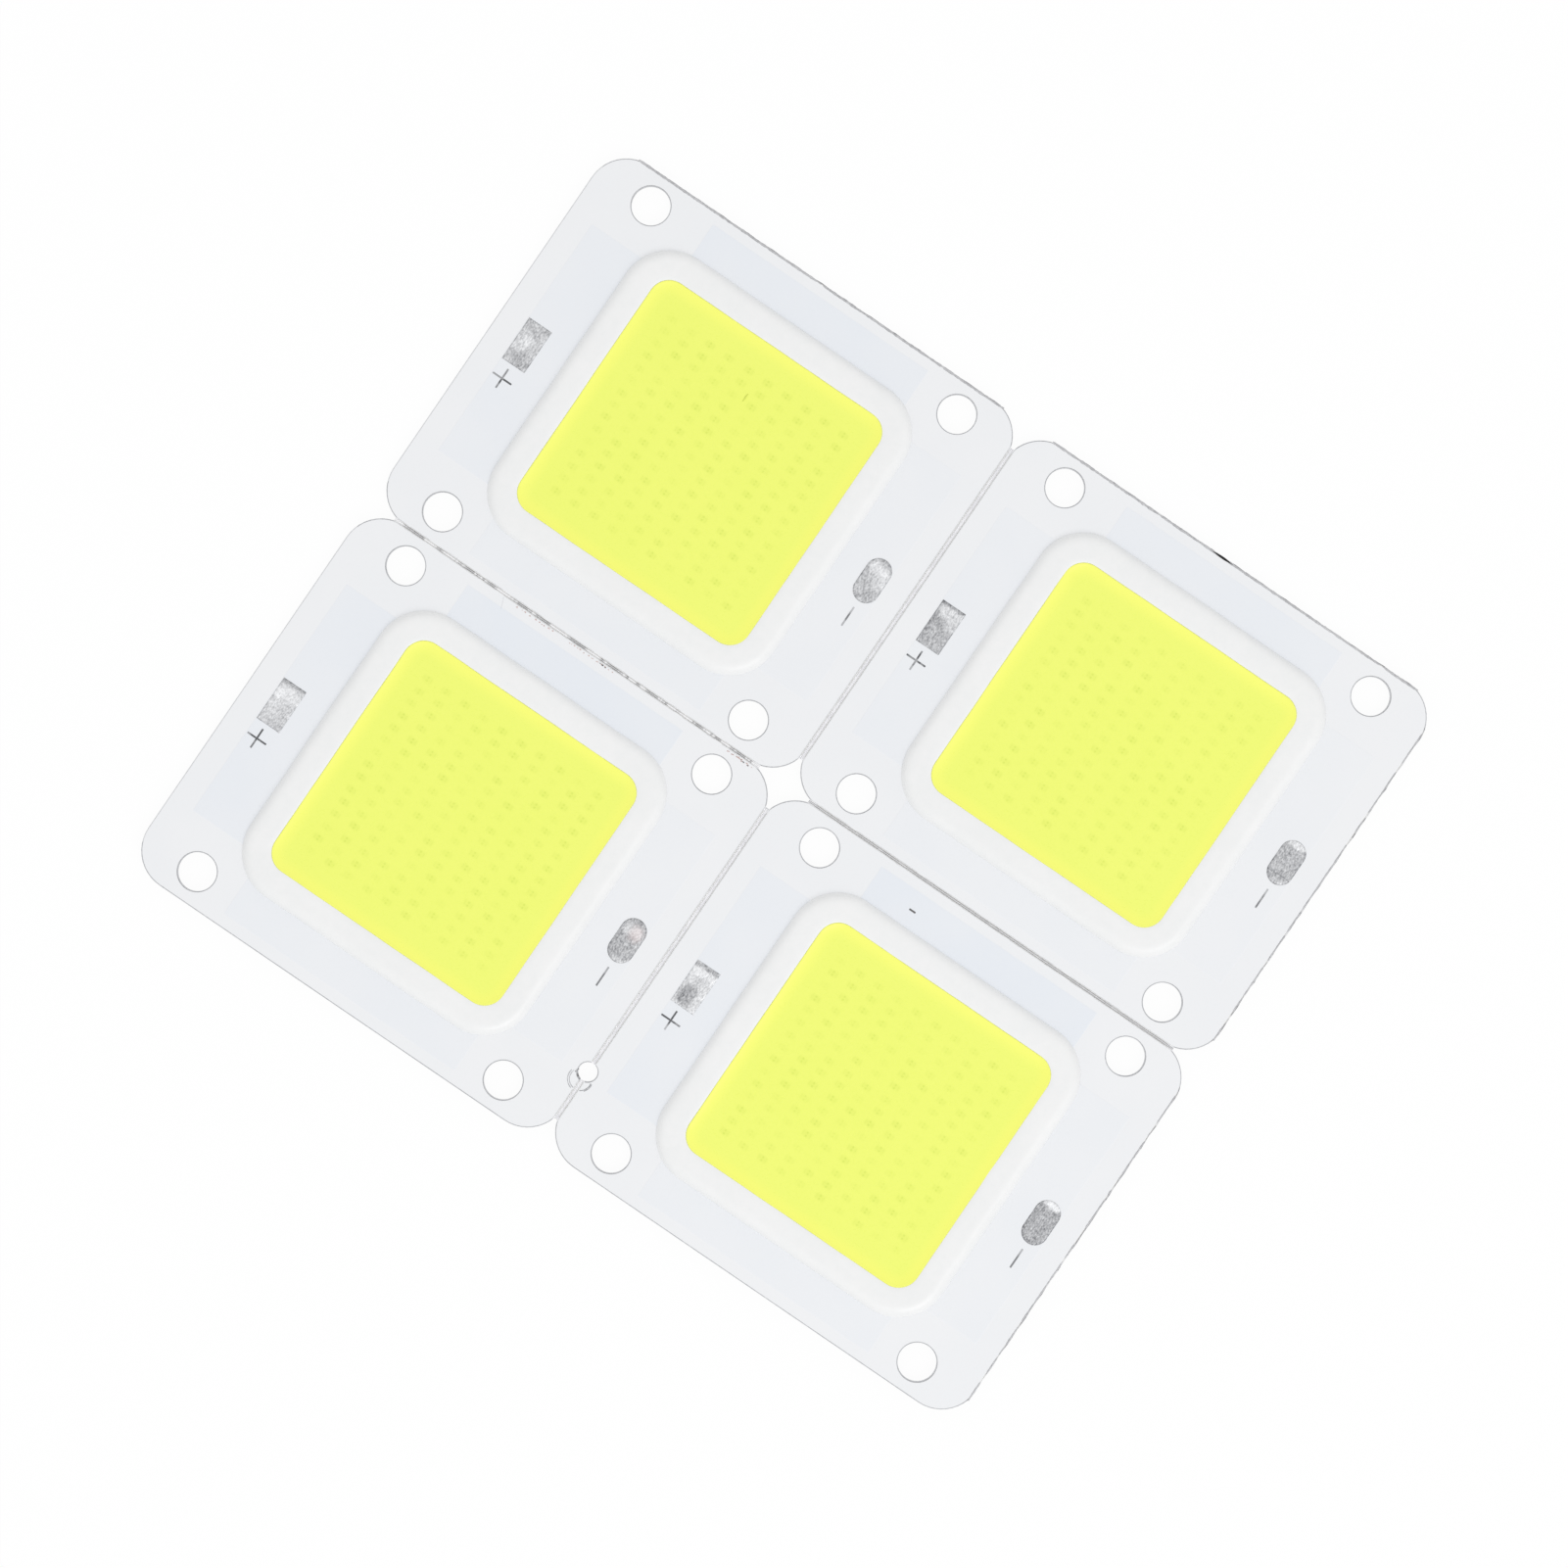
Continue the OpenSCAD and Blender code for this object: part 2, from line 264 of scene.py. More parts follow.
def clearTree(holder):
    holder.use_nodes = True
    holder.node_tree.nodes.clear()
    return holder.node_tree


def newMaterial(name, **constants):
    material = bpy.data.materials.new(name)
    tree = clearTree(material)
    surface = tree.nodes.new("ShaderNodeBsdfPrincipled")
    tree.links.new(surface.outputs[0], tree.nodes.new("ShaderNodeOutputMaterial").inputs[0])
    for key, value in constants.items():
        surface.inputs[key].default_value = value
    place = useGroup(modulePlace, {
        "Vector": addNode(tree, "ShaderNodeTexCoord", output="Object"),
        "Module Width": moduleSize.x, "Module Height": moduleSize.y,
    })
    return material, surface.inputs, place


def addBump(surface, height, strength, distance):
    inputs = {"Height": height, "Strength": strength, "Distance": distance * mm}
    feed(surface["Normal"], addNode(height.tree, "ShaderNodeBump", inputs))


def grainColor(place, tone, darker, fineScale, coarseScale, amount=0.5, stretch=(1, 1, 1)):
    grains = useGroup(grain, {
        "Vector": place["Sheet"], "Fine Scale": fineScale, "Coarse Scale": coarseScale, "Stretch": stretch})
    level = grains["Fine"] * 0.6 + grains["Coarse"] * 0.4
    level = rangeMask(level, 0.5 - amount / 2, 0.5 + amount / 2)
    return mixColor(level, shade(darker), shade(tone)), grains


# aluminium plate

plateLook = {
    "backTone": (206, 207, 209), "backDark": (186, 187, 190), "rollStretch": (0.12, 1.6, 1.0),
    "rimTone": (202, 203, 206), "rimDark": (172, 173, 177), "rimWidth": 0.3,
    "leftRim": (234, 235, 237), "leftRimShare": 0.6,
    # the column's line tone is painted shade along the groove's two flanks
    "columnHalf": 0.25, "columnTone": (252, 252, 253), "columnFlankShade": (234, 235, 237),
    "columnRoot": (238, 238, 240), "flankAt": 0.22, "lineFade": (0.07, 0.02), "cutBlur": 0.02,
    # the row's dark tone is painted shade in the groove's core, and the dark of the burrs in the left row;
    # the right row's share sets how strong that painted shade is
    "rowHalf": 0.19, "rowTone": (247, 247, 248), "rowShadeAndBurrTone": (198, 198, 200), "rowWobble": 0.08,
    "wobbleScale": 0.8, "coreFade": (0.12, 0.02), "leftDashes": 0.9, "rightRowShade": 0.62,
    "dashScale": 0.5, "dashStretch": 0.37, "dashLimits": ((0.46, 0.54), (0.44, 0.56)),
    "tornTone": (226, 226, 228), "tornDark": (146, 146, 149), "tornLip": (178, 178, 181), "tornBelow": 0.25,
    "lipLimits": ((0.24, 0.28), (0.19, 0.23)), "bruiseDepth": 0.5,
    "burntTone": (30, 28, 30), "burntFrom": 20.3, "burntTo": 22.7, "burntWidth": 0.45, "burntBlur": 0.15,
}


def aluminiumFinish():
    look = plateLook
    material, surface, place = newMaterial("aluminium")
    x, y, z = splitVector(place["Sheet"])
    back, grains = grainColor(place, look["backTone"], look["backDark"], 5.0, 0.3, 0.5, look["rollStretch"])
    rim, _ = grainColor(place, look["rimTone"], look["rimDark"], 3.0, 0.5)
    rim = mixColor((x < sheetLow.x + look["rimWidth"]) * look["leftRimShare"], rim, shade(look["leftRim"]))
    # signed distance to the nearest score line each way; the left and bottom edges aren't scored
    lineX = calc("WRAP", x, moduleSize.x / 2, -moduleSize.x / 2)
    lineY = calc("WRAP", y, moduleSize.y / 2, -moduleSize.y / 2)
    sideX, sideY = abs(lineX), abs(lineY)
    blur, columnHalf, rowHalf = look["cutBlur"], look["columnHalf"], look["rowHalf"]
    inColumn = rangeMask(sideX, columnHalf + blur, columnHalf - blur) * (x > sheetLow.x + 1)
    inRow = rangeMask(sideY, rowHalf + blur, rowHalf - blur) * (y > sheetLow.y + 1)
    # dashes: where the web was bruised or torn along the cut
    stretch, (limitsX, limitsY) = look["dashStretch"], look["dashLimits"]
    dashX = rangeMask(noiseMask(joinVector(x, y * stretch), look["dashScale"], 3.0, 0.65), *limitsX)
    dashY = rangeMask(noiseMask(joinVector(x * stretch, y), look["dashScale"], 3.0, 0.65), *limitsY)
    # darker lines along both flanks: painted shade of the groove's walls
    flank = rangeMask(abs(sideX - look["flankAt"]), *look["lineFade"])
    column = mixColor(flank, shade(look["columnTone"]), shade(look["columnFlankShade"]))
    root = rangeMask(sideX, *look["lineFade"]) * (dashY * 0.5 + 0.5)
    column = mixColor(root, column, shade(look["columnRoot"]))
    wobble = noiseMask(joinVector(x, y), look["wobbleScale"])
    wobble = rangeMask(wobble, 0.3, 0.7, -look["rowWobble"], look["rowWobble"], smooth=False)
    # the left row's core darkens in dashes where the web broke; the right row's core is painted shade, even
    # along the groove
    rowBurrsAndShade = mixNumber(x > 0.0, dashX * look["leftDashes"], look["rightRowShade"])
    core = rangeMask(abs(lineY - wobble), *look["coreFade"]) * rowBurrsAndShade
    row = mixColor(core, shade(look["rowTone"]), shade(look["rowShadeAndBurrTone"]))
    top = mixColor(inRow, mixColor(inColumn, rim, column), row)
    onTop, onRight = y > sheetHigh.y - look["rimWidth"], x > sheetHigh.x - look["rimWidth"]
    lipX, lipY = look["lipLimits"]
    lip = larger(onTop * rangeMask(sideY, *lipY), onRight * rangeMask(sideX, *lipX))
    # bruises and scorching stay near the upper face
    bruised = sheetHigh.z - look["bruiseDepth"]
    upper = rangeMask(z, bruised - 0.1, bruised + 0.1)
    torn = larger(onTop * dashX, onRight * dashY) * between(upper, look["tornBelow"], 1.0)
    torn = mixColor(torn, shade(look["tornTone"]), shade(look["tornDark"]))
    torn = mixColor(lip, torn, shade(look["tornLip"]))
    top = mixColor(larger(onTop, onRight), top, torn)
    blur = look["burntBlur"]
    burntStart = rangeMask(x, look["burntFrom"] - blur, look["burntFrom"] + blur)
    burntEnd = rangeMask(x, look["burntTo"] + blur, look["burntTo"] - blur)
    burnt = burntStart * burntEnd * upper * (y > sheetHigh.y - look["burntWidth"])
    top = mixColor(burnt, top, shade(look["burntTone"]))
    isTop = rangeMask(z, 0.02, 0.12)
    feed(surface["Base Color"], mixColor(isTop, back, top))
    # the cutter leaves its flanks bright, the rolled faces are duller
    cut = larger(inColumn, inRow) * isTop
    feed(surface["Metallic"], between(cut, 0.85, 1.0))
    feed(surface["Roughness"], rangeMask(grains["Fine"], 0.3, 0.7, 0.3, 0.46) * between(cut, 1.0, 0.45))
    addBump(surface, grains["Fine"], 0.4, 0.02)
    return material


# solder mask; the copper under it shows as faint, cooler fields

maskLook = {
    "tone": (240, 241, 243), "edgeTone": (236, 238, 241), "fieldTone": (232, 236, 242),
    "fields": {"plus_copper_1": 0.5, "minus_copper_1": 0.22, "upper_copper_1": 0.75, "lower_copper_1": 0.34},
    "moduleSpread": 0.3, "fieldSoftness": 0.06, "fieldRise": 0.012,
}


def maskFinish():
    look = maskLook
    material, surface, place = newMaterial("solderMask")
    fields, height = 0.0, 0.0
    for node, strength in look["fields"].items():
        low, high = (corner - moduleCentre(1) for corner in cadBox(node))
        field = boxMask(place["Local"], (high - low) / 2, 0.05, look["fieldSoftness"], (low + high) / 2)
        fields = larger(fields, field * strength)
        height = larger(height, field)
    chance = addNode(
        height.tree, "ShaderNodeTexWhiteNoise", {"W": place["Number"]}, "Value", noise_dimensions="1D")
    fields = fields * between(chance, 1 - look["moduleSpread"], 1 + look["moduleSpread"])
    grains = useGroup(grain, {"Vector": place["Sheet"], "Fine Scale": 2.5, "Coarse Scale": 0.12})
    thin = rangeMask(grains["Coarse"], 0.35, 0.65, 0.0, 0.35)
    base = mixColor(thin, shade(look["tone"]), shade(look["edgeTone"]))
    # fields fade a little where the lacquer is thicker
    fields = calc("MULTIPLY", fields, rangeMask(grains["Coarse"], 0.3, 0.7, 0.8, 1.15), clamp=True)
    feed(surface["Base Color"], mixColor(fields, base, shade(look["fieldTone"])))
    feed(surface["Roughness"], rangeMask(grains["Fine"], 0.3, 0.7, 0.36, 0.48))
    addBump(surface, height + grains["Fine"] * 0.25, 1.0, look["fieldRise"])
    return material


# other layers: material name, tone, darker tone, metallic, roughness and grain scale

layerLook = {
    "insulation": ("insulation", (226, 224, 216), (212, 210, 202), 0.0, 0.6, 6.0),
    "copper": ("copper", (214, 150, 112), (186, 120, 84), 1.0, 0.35, 6.0),
    "led_chips": ("ledChip", (150, 160, 176), (118, 128, 148), 0.0, 0.25, 12.0),
    "bond_wires": ("bondWire", (232, 190, 112), (214, 168, 92), 1.0, 0.25, 6.0),
}


def layerFinish(name, tone, darker, metallic=0.0, roughness=0.5, fineScale=6.0, coarseScale=0.8):
    material, surface, place = newMaterial(name, Metallic=metallic, Roughness=roughness)
    color, grains = grainColor(place, tone, darker, fineScale, coarseScale, 0.6)
    feed(surface["Base Color"], color)
    addBump(surface, grains["Fine"], 0.3, 0.01)
    return material


finishes = {"base_plate": aluminiumFinish(), "solder_mask": maskFinish()}
finishes.update({layer: layerFinish(*values) for layer, values in layerLook.items()})
for node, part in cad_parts.items():
    for layer, finish in finishes.items():
        if layer in node:
            part.data.materials.clear()
            part.data.materials.append(finish)
print("plate, lacquer and circuit layers painted")


# mesh helpers

def finishPiece(piece, nodes=()):
    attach(piece, "root")
    if nodes:
        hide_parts(*nodes)


def meshPiece(name, build, material, smooth=True):
    mesh = bpy.data.meshes.new(name)
    shape = bmesh.new()
    build(shape)
    bmesh.ops.recalc_face_normals(shape, faces=shape.faces)
    shape.to_mesh(mesh)
    shape.free()
    for polygon in mesh.polygons:
        polygon.use_smooth = smooth
    mesh.materials.append(material)
    piece = bpy.data.objects.new(name, mesh)
    scene.collection.objects.link(piece)
    return piece


# points of a rectangle with rounded corners, in millimetres
def roundedLoop(halfWidth, halfHeight, radius, cornerSteps=8, sideSteps=6):
    def onCorner(index, turn):
        signX, signY = ((1, 1), (-1, 1), (-1, -1), (1, -1))[index % 4]
        angle = math.radians(90 * index + turn)
        return Vector((signX * (halfWidth - radius) + radius * math.cos(angle),
                       signY * (halfHeight - radius) + radius * math.sin(angle)))

    points = []
    for index in range(4):
        points += [onCorner(index, 90 * step / cornerSteps) for step in range(cornerSteps + 1)]
        begin, end = points[-1], onCorner(index + 1, 0)
        points += [begin.lerp(end, step / sideSteps) for step in range(1, sideSteps)]
    return points


# rings of points in mm from the bottom to the top, joined and closed at both ends
def cappedSolid(shape, rings, centreTop=None):
    verts = [[shape.verts.new(Vector(point) * mm) for point in ring] for ring in rings]
    count = len(rings[0])
    for lower, upper in zip(verts, verts[1:]):
        for i in range(count):
            j = (i + 1) % count
            shape.faces.new((lower[i], lower[j], upper[j], upper[i]))
    shape.faces.new(verts[0][::-1])
    if centreTop is None:
        shape.faces.new(verts[-1])
    else:
        middle = shape.verts.new(Vector(centreTop) * mm)
        for i in range(count):
            shape.faces.new((verts[-1][i], verts[-1][(i + 1) % count], middle))


def lumps(point, scale, seed):
    return noise.noise(Vector((point.x * scale, point.y * scale, seed * 7.31)))


# geometry node helpers

# a circle of some points, bent to the given section and carried along a path
def sweep(path, drift, pointCount, section, **options):
    tree = path.tree
    path = addNode(tree, "GeometryNodeSetPosition", {"Geometry": path, "Offset": drift})
    path = addNode(tree, "GeometryNodeSetCurveNormal", {"Curve": path}, mode="Z_UP")
    ring = addNode(
        tree, "GeometryNodeCurvePrimitiveCircle", {"Resolution": pointCount, "Radius": 1.0}, mode="RADIUS")
    profile = addNode(tree, "GeometryNodeSetPosition", {"Geometry": ring, "Position": section})
    return addNode(tree, "GeometryNodeCurveToMesh", {"Curve": path, "Profile Curve": profile, **options})


def endTree(result, geometry, material):
    geometry = addNode(geometry.tree, "GeometryNodeRealizeInstances", {0: geometry})
    geometry = addNode(geometry.tree, "GeometryNodeSetShadeSmooth", {"Geometry": geometry})
    geometry = addNode(geometry.tree, "GeometryNodeSetMaterial", {"Geometry": geometry, "Material": material})
    feed(result["Geometry"], geometry)


# runs a tree on a mesh of paths, in mm, and keeps the result as a plain mesh that faces outwards
def growPiece(name, tree, values, paths=()):
    seedMesh = bpy.data.meshes.new(name + "Seed")
    points, edges = [], []
    for path in paths:
        edges += [(len(points) + i, len(points) + i + 1) for i in range(len(path) - 1)]
        points += [Vector(point) * mm for point in path]
    seedMesh.from_pydata(points, edges, [])
    grower = bpy.data.objects.new(name + "Seed", seedMesh)
    scene.collection.objects.link(grower)
    modifier = grower.modifiers.new("grow", "NODES")
    modifier.node_group = tree
    for item in tree.interface.items_tree:
        if item.in_out == "INPUT" and item.name in values:  # by identifier, before the first evaluation
            modifier[item.identifier] = values[item.name]
    mesh = bpy.data.meshes.new_from_object(grower.evaluated_get(bpy.context.evaluated_depsgraph_get()))
    mesh.name = name
    grower.modifiers.remove(modifier)
    bpy.data.objects.remove(grower)
    shape = bmesh.new()
    shape.from_mesh(mesh)
    bmesh.ops.remove_doubles(shape, verts=shape.verts, dist=1e-7)
    bmesh.ops.recalc_face_normals(shape, faces=shape.faces)
    shape.to_mesh(mesh)
    shape.free()
    piece = bpy.data.objects.new(name, mesh)
    scene.collection.objects.link(piece)
    return piece


# silicone dams; lengths in millimetres

damLook = {
    "sizes": {"Span": 27.4, "Corner Radius": 3.1, "Half Width": 1.7, "Height": 0.745, "Wander": 0.035,
              "Sag": 0.015},
    "flatness": 5.0, "cornerPoints": 14, "sectionPoints": 44, "step": 0.35, "footRise": -0.03,
    "wanderScale": 0.16, "swellScale": 0.4, "seedStep": 11.7,
    "tone": (243, 243, 243), "darkTone": (239, 240, 240),
}


def siliconeFinish():
    material, surface, place = newMaterial("silicone")
    color, grains = grainColor(place, damLook["tone"], damLook["darkTone"], 1.4, 0.25)
    feed(surface["Base Color"], color)
    feed(surface["Roughness"], rangeMask(grains["Coarse"], 0.3, 0.7, 0.3, 0.44))
    addBump(surface, grains["Coarse"], 0.5, 0.05)
    return material


# a bead along a rounded square: its section is a flattened dome that swells and wanders a little
def buildDamTree(material):
    tree, given, result = newTree(
        "GeometryNodeTree", "layDam",
        [(name, "Float", size * mm) for name, size in damLook["sizes"].items()]
        + [("Flatness", "Float", damLook["flatness"]), ("Centre", "Vector", (0, 0, 0)),
           ("Seed", "Float", 0.0)],
        [("Geometry", "Geometry")],
    )
    path = addNode(tree, "GeometryNodeCurvePrimitiveQuadrilateral", {
        "Width": given["Span"], "Height": given["Span"]})
    path = addNode(tree, "GeometryNodeFilletCurve", {
        "Curve": path, "Radius": given["Corner Radius"], "Count": damLook["cornerPoints"]}, mode="POLY")
    path = addNode(tree, "GeometryNodeResampleCurve", {
        "Curve": path, "Length": damLook["step"] * mm}, mode="LENGTH")
    position = addNode(tree, "GeometryNodeInputPosition")
    place = position * perMm + joinVector(0.0, 0.0, given["Seed"])
    drift = driftNoise(place, damLook["wanderScale"]) * joinVector(given["Wander"], given["Wander"], 0.0)
    drift = drift * (4, 4, 0)
    # section: x runs across the bead and y up from the lacquer; the sweep turns it upside down
    x, y, z = splitVector(position)
    upper = y > 0.0001
    dome = (1.0 - calc("POWER", abs(x), given["Flatness"])) * upper + (1.0 - upper) * damLook["footRise"]
    section = joinVector(x * given["Half Width"], dome * -1.0 * given["Height"])
    bead = sweep(path, drift, damLook["sectionPoints"], section)
    # the bead sags a little between the nozzle's pulses, never above its full height
    drop = noiseMask(place, damLook["swellScale"], 1.0) * given["Sag"] * (z / given["Height"])
    drop = joinVector(0.0, 0.0, drop * -1.0)
    bead = addNode(tree, "GeometryNodeSetPosition", {"Geometry": bead, "Offset": drop})
    bead = addNode(tree, "GeometryNodeTransform", {"Geometry": bead, "Translation": given["Centre"]})
    endTree(result, bead, material)
    return tree


damTree = buildDamTree(siliconeFinish())
for number in moduleNumbers:
    values = {name: size * mm for name, size in damLook["sizes"].items()}
    values["Flatness"], values["Seed"] = damLook["flatness"], damLook["seedStep"] * number
    values["Centre"] = (moduleCentre(number) + Vector((0, 0, maskTop))) * mm
    dam = growPiece("siliconeDam%d" % number, damTree, values)
    finishPiece(dam, ["silicone_dam_%d" % number])
print("silicone dams laid: %d" % len(moduleNumbers))


# phosphor gel; lengths in millimetres, heights above the lacquer

gelLook = {
    "halfSize": 12.6, "cornerRadius": 2.0, "level": 0.47, "levelRings": (10.2, 9.0, 6.0, 3.0),
    # half size and height, from the foot inside the dam up and down the meniscus
    "meniscus": ((12.1, 0.005), (12.12, 0.2), (12.25, 0.42), (12.45, 0.58), (12.6, 0.645), (12.63, 0.669),
                 (12.55, 0.669), (12.4, 0.62), (12.2, 0.575), (11.9, 0.53), (11.5, 0.495), (11.0, 0.478)),
    "ripple": 0.012, "rimRipple": 0.02, "meniscusFrom": 11.8, "rimWander": 0.0022, "rimFrom": 12.3,
    # the rim tone is a painted highlight on the meniscus where it rises to the dam
    "tone": (244, 252, 117), "rimTone": (250, 254, 116), "grainTone": (241, 251, 113),
    # marks of the chips: pitches, two dots between two bars, and a halo
    "chipPitch": 2.11, "rowPitch": 1.32, "groupPitch": 4.09, "chipTint": (0.84, 0.88, 0.74, 1.0),
    "dotY": 0.16, "dotFade": (0.2, 0.03), "barX": 0.37, "barFade": (0.15, 0.02), "barTint": 0.45,
    "halo": (0.46, 0.28), "haloRadius": 0.14, "haloBlur": 0.2, "haloTint": 0.34,
    "scatterX": 0.06, "scatterY": 0.05, "depths": (0.3, 1.15), "rimFade": (-1.6, -0.3),
}


def gelFinish():
    look = gelLook
    material, surface, place = newMaterial("phosphorGel")
    local = place["Local"]
    x, y, _ = splitVector(local)
    body, grains = grainColor(place, look["tone"], look["grainTone"], 3.0, 0.2)
    rim = boxMask(local, (look["halfSize"], look["halfSize"]), look["cornerRadius"], output="Distance")
    # lighter towards the dam: a painted highlight on the meniscus
    body = mixColor(rangeMask(rim, *look["rimFade"]), body, shade(look["rimTone"]))
    # chips show through the gel as faint darker marks, each a little off its place
    chipX = calc("WRAP", x, look["chipPitch"], 0.0) - look["chipPitch"] / 2
    groupY = calc("WRAP", y, look["groupPitch"] / 2, -look["groupPitch"] / 2)
    chipY = calc("WRAP", groupY, look["rowPitch"] / 2, -look["rowPitch"] / 2)
    chip = joinVector(calc("ROUND", x - chipX), calc("ROUND", (y - chipY) * 2.0), place["Number"])
    chance = addNode(x.tree, "ShaderNodeTexWhiteNoise", {"Vector": chip}, "Color", noise_dimensions="3D")
    shiftX, shiftY, depth = splitVector(chance)
    chipX = chipX + between(shiftX, -look["scatterX"], look["scatterX"])
    chipY = chipY + between(shiftY, -look["scatterY"], look["scatterY"])
    sideX, sideY = abs(chipX), abs(chipY)
    fromDot = calc("LENGTH", joinVector(sideX, sideY - look["dotY"]))
    fromBar = calc("LENGTH", joinVector(sideX - look["barX"], larger(sideY - look["dotY"], 0.0)))
    halo = boxMask(joinVector(chipX, chipY), look["halo"], look["haloRadius"], look["haloBlur"])
    dots = rangeMask(fromDot, *look["dotFade"])
    bars = rangeMask(fromBar, *look["barFade"], 0.0, look["barTint"])
    field = boxMask(local, (5 * look["chipPitch"], 2.5 * look["groupPitch"] - 0.2), 0.1, 0.02)
    marks = larger(larger(dots, bars), halo * look["haloTint"]) * field * between(depth, *look["depths"])
    feed(surface["Base Color"], mixColor(marks, body, mixColor(1.0, body, look["chipTint"], "MULTIPLY")))
    feed(surface["Roughness"], rangeMask(grains["Fine"], 0.3, 0.7, 0.26, 0.36))
    addBump(surface, grains["Coarse"], 0.4, 0.05)
    return material


def pourGel(shape, number):
    look = gelLook
    centre = moduleCentre(number)
    rings = []
    for half, height in look["meniscus"] + tuple((half, look["level"]) for half in look["levelRings"]):
        ring = []
        radius = max(0.3, look["cornerRadius"] + half - look["halfSize"])
        for point in roundedLoop(half, half, radius, 10, 24):
            # the middle ripples less than the meniscus, and only the rim wanders sideways
            ripple = look["ripple"] * lumps(point, 0.35, number)
            if half >= look["meniscusFrom"]:
                ripple = look["rimRipple"] * lumps(point, 0.5, number + 9)
            edge = 1 + (look["rimWander"] * lumps(point, 0.3, number + 20) if half > look["rimFrom"] else 0)
            level = maskTop + height + ripple * min(1, height)
            ring.append((centre.x + point.x * edge, centre.y + point.y * edge, level))
        rings.append(ring)
    cappedSolid(shape, rings, (centre.x, centre.y, maskTop + look["level"]))


gelMaterial = gelFinish()
for number in moduleNumbers:
    gel = meshPiece("phosphorGel%d" % number, lambda shape: pourGel(shape, number), gelMaterial)
    finishPiece(gel, ["phosphor_gel_%d" % number])
print("phosphor gel poured")


# tinned pads; tones from 0 dark to 1 light, lengths in millimetres

padLook = {
    "lump": 0.02, "dark": (108, 109, 113), "light": (243, 244, 246), "ragged": 0.3, "rimFade": (-0.14, -0.05),
    "rimShift": -0.13, "mottle": 0.36, "cloud": 0.08, "base": 0.08,
    # inset and height above the lacquer of the rings over the foot
    "dome": ((0, 0.012), (0.03, 0.03), (0.09, 0.045), (0.3, 0.045), (0.55, 0.045), (0.8, 0.045), (1.0, 0.045),
             (1.15, 0.045)),
    "blushTone": (238, 208, 204), "blushShare": 0.22, "blush": {"minus3": (0.35, 0.95, 0.6, 0.7)},
    # for each pad: its even tone, then patches as x, y, half width, half height, shift
    "plus1": (0.46, (-0.6, 0.1, 0.7, 1.0, 0.15), (0.3, 0.4, 0.9, 0.35, 0.12), (0.5, -1.5, 0.8, 0.7, -0.13),
              (0.9, 1.9, 0.4, 0.25, -0.1)),
    "plus2": (0.35, (0.1, 1.45, 1.2, 0.6, 0.28), (0.7, 0.5, 0.5, 0.5, 0.14), (0.0, 2.1, 1.2, 0.12, -0.2),
              (-1.05, 0.3, 0.15, 1.1, -0.2)),
    "plus3": (0.52, (0.0, 1.0, 1.2, 0.7, 0.2), (-0.8, 0.0, 0.5, 1.2, 0.1), (0.0, 2.1, 1.2, 0.13, -0.24),
              (0.2, -1.8, 1.0, 0.4, -0.07)),
    "plus4": (0.66, (-0.25, -1.0, 0.7, 1.1, -0.4), (-0.1, 0.6, 0.25, 0.5, -0.2), (0.0, 2.0, 1.2, 0.2, -0.38),
              (0.7, -1.7, 0.4, 0.4, -0.1), (-0.9, -1.3, 0.3, 0.8, -0.12), (0.0, 1.3, 1.2, 0.3, 0.14)),
    "minus1": (0.4, (0.0, 1.25, 1.0, 0.5, 0.27), (0.7, 0.2, 0.5, 0.9, 0.2), (0.0, 0.3, 0.5, 0.5, 0.08),
               (0.0, 2.05, 0.8, 0.15, -0.06)),
    "minus2": (0.33, (0.0, 1.9, 0.9, 0.3, 0.4), (0.0, -1.3, 1.2, 0.05, -0.22), (0.3, -1.9, 0.6, 0.2, 0.12)),
    "minus3": (0.32, (0.0, 1.05, 0.9, 0.5, 0.26), (0.2, -2.0, 0.6, 0.2, 0.24)),
    "minus4": (0.26, (0.0, 1.9, 0.9, 0.32, 0.55)),
}


def tinFinish(kind, number, middle, half):
    look, name = padLook, "%s%d" % (kind, number)
    level, *patches = look[name]
    material, surface, place = newMaterial("%sTin%d" % (kind, number), Metallic=0.75)
    grains = useGroup(grain, {
        "Vector": place["Sheet"], "Fine Scale": 6.5, "Coarse Scale": 1.6, "Stretch": (1.0, 0.55, 1.0),
        "Seed": number * 3.7 + (20 if kind == "minus" else 0)})
    away = place["Sheet"] - middle
    edge = boxMask(away, half, half.x if kind == "minus" else 0.06, output="Distance")
    tone = calc("MULTIPLY_ADD", rangeMask(edge, *look["rimFade"]), look["rimShift"], level + look["base"])
    # ragged edges for the patches that the solder left when it froze
    frayed = away + driftNoise(place["Sheet"], 2.6, 3.0, 0.65) * ((2 * look["ragged"],) * 3)
    for left, up, halfX, halfY, shift in patches:
        patch = boxMask(frayed, (halfX, halfY), min(halfX, halfY) * 0.9, min(0.28, halfY * 0.7), (left, up))
        tone = patch * shift + tone
    tone = tone + rangeMask(grains["Fine"], 0.25, 0.75, -look["mottle"], look["mottle"], smooth=False)
    cloud = rangeMask(grains["Coarse"], 0.3, 0.7, -look["cloud"], look["cloud"], smooth=False)
    tone = calc("ADD", tone, cloud, clamp=True)
    color = mixColor(tone, shade(look["dark"]), shade(look["light"]))
    if name in look["blush"]:  # a trace of flux tints this pad
        left, up, halfX, halfY = look["blush"][name]
        stain = boxMask(frayed, (halfX, halfY), 0.5, 0.4, (left, up))
        color = mixColor(stain * look["blushShare"], color, shade(look["blushTone"]))
    feed(surface["Base Color"], color)
    feed(surface["Roughness"], rangeMask(tone, 0.2, 0.9, 0.5, 0.34))
    addBump(surface, grains["Fine"], 0.7, 0.04)
    return material


